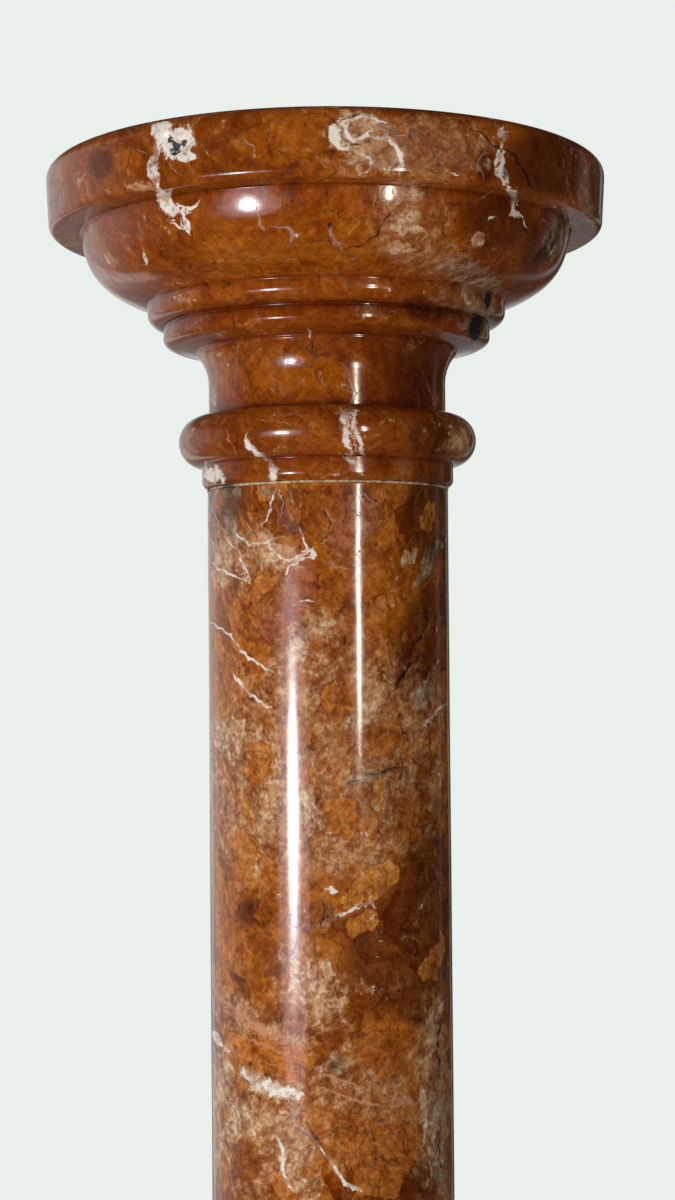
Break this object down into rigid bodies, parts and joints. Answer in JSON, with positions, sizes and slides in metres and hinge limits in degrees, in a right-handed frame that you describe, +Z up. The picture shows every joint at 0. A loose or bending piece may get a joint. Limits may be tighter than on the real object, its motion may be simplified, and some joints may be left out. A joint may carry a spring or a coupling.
{
  "type": "marble pedestal column",
  "caption": "Polished red-brown marble pedestal column: turned capital with a broad round top, plain round shaft, turned base and square plinth.",
  "frame": {"origin": "centre of the plinth's underside", "axes": "+Z up along the axis of the shaft; +X and +Y square to the sides of the plinth, -Y towards the viewer"},
  "size_m": [0.3, 0.3, 1.0795],
  "materials": {
    "veined_marble": "polished red-brown marble with white calcite veins",
    "breccia_marble": "polished red-brown brecciated marble",
    "cement": "pale crumbly cement"
  },
  "bodies": {
    "root": {"capital": "veined_marble", "upper_bed": "cement", "shaft": "breccia_marble", "lower_bed": "cement", "base": "veined_marble", "plinth": "veined_marble"}
  },
  "joints": []
}
